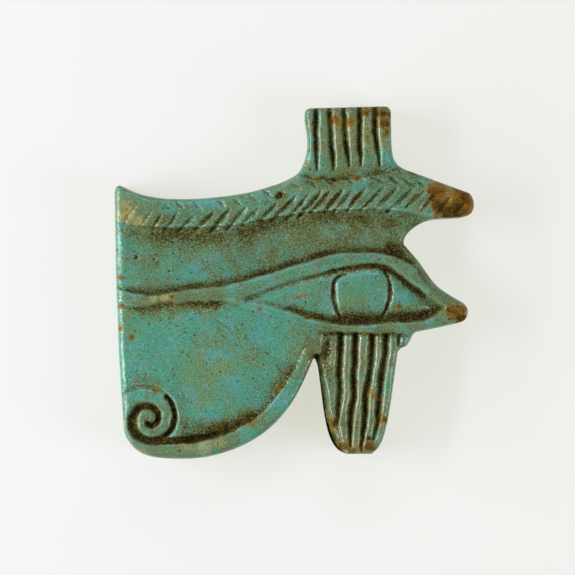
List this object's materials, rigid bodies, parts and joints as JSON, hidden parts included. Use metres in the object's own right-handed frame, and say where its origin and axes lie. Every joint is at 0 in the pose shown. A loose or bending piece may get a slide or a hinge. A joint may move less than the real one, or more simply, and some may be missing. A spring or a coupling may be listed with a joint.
{
  "type": "wedjat eye amulet",
  "caption": "Flat moulded faience amulet in the form of an eye with a chevron brow, a long line, a scroll, a ribbed cheek mark and a ribbed loop bored for a string.",
  "frame": {"origin": "centre of the bounding box on its underside, which is the amulet's flat back", "axes": "+X from the straight edge to the brow's tip, +Y towards the hanging loop, +Z out of the carved face"},
  "size_m": [0.05, 0.049, 0.0076],
  "materials": {
    "faience": "satin to glossy turquoise glaze, worn, with brown earth in the carving and amber iron stains"
  },
  "bodies": {
    "root": {"wedjat_eye_amulet": "faience"}
  },
  "joints": []
}
